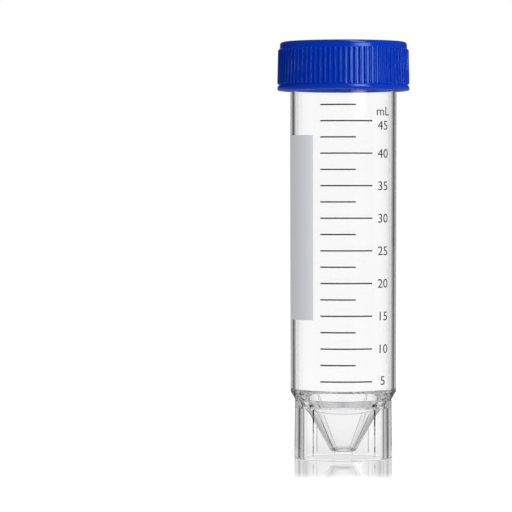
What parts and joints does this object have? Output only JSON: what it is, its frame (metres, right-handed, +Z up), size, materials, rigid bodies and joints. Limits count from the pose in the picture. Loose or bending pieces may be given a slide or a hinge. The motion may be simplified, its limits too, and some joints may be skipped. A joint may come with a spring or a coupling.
{
  "type": "conical tube",
  "caption": "Clear conical-bottom screw-cap tube that stands on a ribbed skirt, with a ribbed screw cap, a printed volume scale and a write-on panel.",
  "frame": {"origin": "centre of the skirt's foot ring, on the surface that the tube stands on", "axes": "+Z up along the tube's axis towards the cap; -Y faces the printed scale's side"},
  "size_m": [0.0368, 0.0368, 0.1155],
  "materials": {
    "clear_plastic": "clear moulded polypropylene, smooth and glossy",
    "blue_cap": "opaque blue moulded polyethylene, semi-gloss"
  },
  "bodies": {
    "tube": {"tube": "clear_plastic"},
    "cap": {"screw_cap": "blue_cap"}
  },
  "joints": [
    {"name": "cap_lift", "type": "slide", "parent": "tube", "child": "cap", "axis": [0, 0, 1], "range_m": [0, 0.03]}
  ]
}
